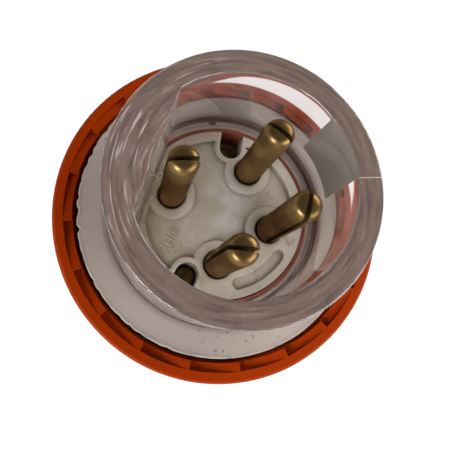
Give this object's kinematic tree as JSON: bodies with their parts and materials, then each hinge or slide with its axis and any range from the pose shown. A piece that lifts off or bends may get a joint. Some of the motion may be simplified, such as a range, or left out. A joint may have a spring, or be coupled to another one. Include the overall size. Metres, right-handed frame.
{
  "type": "waterproof plug",
  "caption": "Industrial waterproof plug: clear keyed skirt over split brass pins, orange coupling ring that turns, bell-shaped body and cable gland.",
  "frame": {"origin": "middle of the gland nut's flat end, which the plug stands on", "axes": "+Z along the plug towards the pin tips, -X towards the earth pin and the skirt's key flat"},
  "size_m": [0.08, 0.08, 0.1322],
  "materials": {
    "clear_polycarbonate": "clear, slightly smoky moulded plastic",
    "label_film": "blank grey film",
    "orange_polycarbonate": "moulded, satin",
    "pale_rubber": "matt pale grey",
    "grey_rubber": "matt grey",
    "beige_thermoset": "moulded, dull",
    "brass": "turned, slightly dulled",
    "steel_screw": "darkened steel",
    "black_rubber": "matt",
    "white_nylon": "natural nylon"
  },
  "bodies": {
    "plug_body": {"front_shroud": "clear_polycarbonate", "shroud_label": "label_film", "face_gasket": "pale_rubber", "shroud_seal": "grey_rubber", "pin_carrier": "beige_thermoset", "pin_retainer": "beige_thermoset", "retainer_screw": "steel_screw", "carrier_screw_1": "steel_screw", "carrier_screw_2": "steel_screw", "rear_housing": "orange_polycarbonate", "gland_seal": "black_rubber", "gland_washer": "white_nylon", "gland_claw": "white_nylon", "gland_nut": "orange_polycarbonate", "earth_pin": "brass", "line_pin_1": "brass", "line_pin_2": "brass", "line_pin_3": "brass", "terminal_screw_1": "steel_screw", "terminal_screw_2": "steel_screw", "terminal_screw_3": "steel_screw", "terminal_screw_4": "steel_screw", "terminal_screw_5": "steel_screw", "terminal_screw_6": "steel_screw", "terminal_screw_7": "steel_screw", "terminal_screw_8": "steel_screw"},
    "coupling_ring_body": {"coupling_ring": "orange_polycarbonate"}
  },
  "joints": [
    {"name": "coupling_ring_turn", "type": "hinge", "parent": "plug_body", "child": "coupling_ring_body", "pos_m": [0, 0, 0.09], "axis": [0, 0, 1], "continuous": true}
  ]
}
